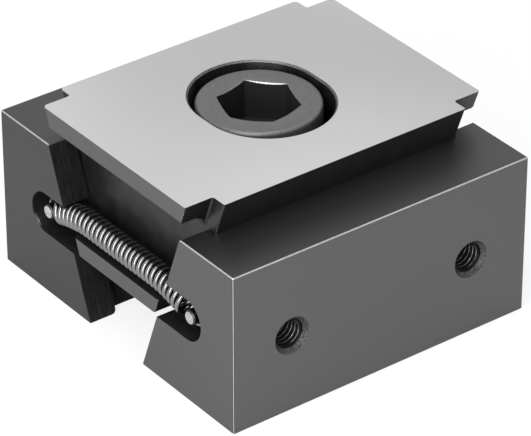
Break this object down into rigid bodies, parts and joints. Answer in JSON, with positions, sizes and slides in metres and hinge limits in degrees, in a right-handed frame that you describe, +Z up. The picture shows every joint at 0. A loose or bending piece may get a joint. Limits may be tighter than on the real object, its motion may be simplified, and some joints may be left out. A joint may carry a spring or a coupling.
{
  "type": "wedge clamp",
  "caption": "Low double wedge clamp: a screw draws a floating wedge down between two jaws and spreads them, and springs draw them back.",
  "frame": {"origin": "on the clamping screw's axis, in the plane of the jaws' undersides", "axes": "+X along the jaws to the right, +Y across the jaws from the front jaw to the rear one, +Z up along the screw towards its head"},
  "size_m": [0.068, 0.073, 0.0569],
  "materials": {
    "jaw_steel": "case-hardened, black oxide, milled",
    "wedge_steel": "case-hardened, black oxide with a ground top face",
    "screw_steel": "black oxide, forged and turned",
    "pin_steel": "bright ground",
    "spring_steel": "bright drawn wire"
  },
  "bodies": {
    "front_jaw": {"front_jaw": "jaw_steel", "front_left_pin": "pin_steel", "front_right_pin": "pin_steel", "left_spring": "spring_steel", "right_spring": "spring_steel"},
    "rear_jaw": {"rear_jaw": "jaw_steel", "rear_left_pin": "pin_steel", "rear_right_pin": "pin_steel"},
    "wedge": {"clamping_wedge": "wedge_steel"},
    "screw": {"clamping_screw": "screw_steel"}
  },
  "joints": [
    {"name": "jaw_spread", "type": "slide", "parent": "front_jaw", "child": "rear_jaw", "axis": [0, 1, 0], "range_m": [0, 0.00547], "deforming": ["left_spring", "right_spring"]},
    {"name": "wedge_drop", "type": "slide", "parent": "front_jaw", "child": "wedge", "axis": [0, 0.342, -0.9397], "range_m": [0, 0.00798], "stiffness_N_per_m": 400, "springref_m": -0.015},
    {"name": "screw_turn", "type": "hinge", "parent": "wedge", "child": "screw", "pos_m": [0, 0, 0], "axis": [0, 0, -1], "range_deg": [0, 1350]}
  ],
  "couplings": [
    {"joint": "screw_turn", "follows": "wedge_drop", "rad_per_m": 2952.1},
    {"joint": "jaw_spread", "follows": "wedge_drop", "ratio": 0.68404}
  ]
}
